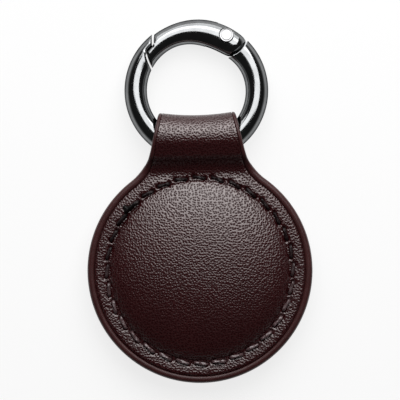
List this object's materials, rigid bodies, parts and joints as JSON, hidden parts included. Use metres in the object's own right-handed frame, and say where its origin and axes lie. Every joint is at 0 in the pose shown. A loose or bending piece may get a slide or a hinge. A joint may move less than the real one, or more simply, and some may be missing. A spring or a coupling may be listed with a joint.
{
  "type": "leather key fob",
  "caption": "Round stitched leather key fob holding a proximity tag, folded over a dark spring-gate ring that swings in its loop.",
  "frame": {"origin": "centre of the flat on the back face, with the fob lying on its back", "axes": "+Y from the disc to the ring, +Z out of the front face, +X to the right seen from the front"},
  "size_m": [0.04, 0.0647, 0.0086],
  "materials": {
    "leather": "fine pebble grain, satin",
    "edge_finish": "smooth burnished edge bead",
    "cement": "dried cement film",
    "thread": "waxed thread",
    "foam": "closed-cell foam",
    "tag_plastic": "moulded",
    "copper": "bonded enamelled wire",
    "board": "laminate",
    "chip": "potting",
    "gunmetal": "polished dark plating",
    "rivet_metal": "polished dark plating",
    "spring_steel": "drawn wire and turned pin"
  },
  "bodies": {
    "fob": {"leather_wrap": "leather", "edge_bead": "edge_finish", "cement_film": "cement", "needle_thread": "thread", "bobbin_thread": "thread", "foam_pad": "foam", "tag_cover": "tag_plastic", "tag_base": "tag_plastic", "antenna_coil": "copper", "chip_board": "board", "tag_chip": "chip"},
    "ring": {"ring_body": "gunmetal", "hinge_rivet": "rivet_metal"},
    "gate": {"ring_gate": "gunmetal", "gate_spring": "spring_steel"},
    "plunger": {"spring_plunger": "spring_steel"}
  },
  "joints": [
    {"name": "ring_swing", "type": "hinge", "parent": "fob", "child": "ring", "pos_m": [0, 0.023, 0.0043], "axis": [1, 0, 0], "range_deg": [-32, 45]},
    {"name": "gate_hinge", "type": "hinge", "parent": "ring", "child": "gate", "pos_m": [0.00555, 0.04159, 0.00218], "axis": [0, 0.1131, 0.9936], "range_deg": [0, 35], "stiffness_Nm_per_rad": 0.01, "springref_deg": -17.19},
    {"name": "plunger_slide", "type": "slide", "parent": "gate", "child": "plunger", "axis": [-0.9511, 0.307, -0.0349], "range_m": [0, 0.00055], "deforming": ["gate_spring"]}
  ],
  "couplings": [
    {"joint": "plunger_slide", "follows": "gate_hinge", "m_per_rad": 0.00083}
  ]
}
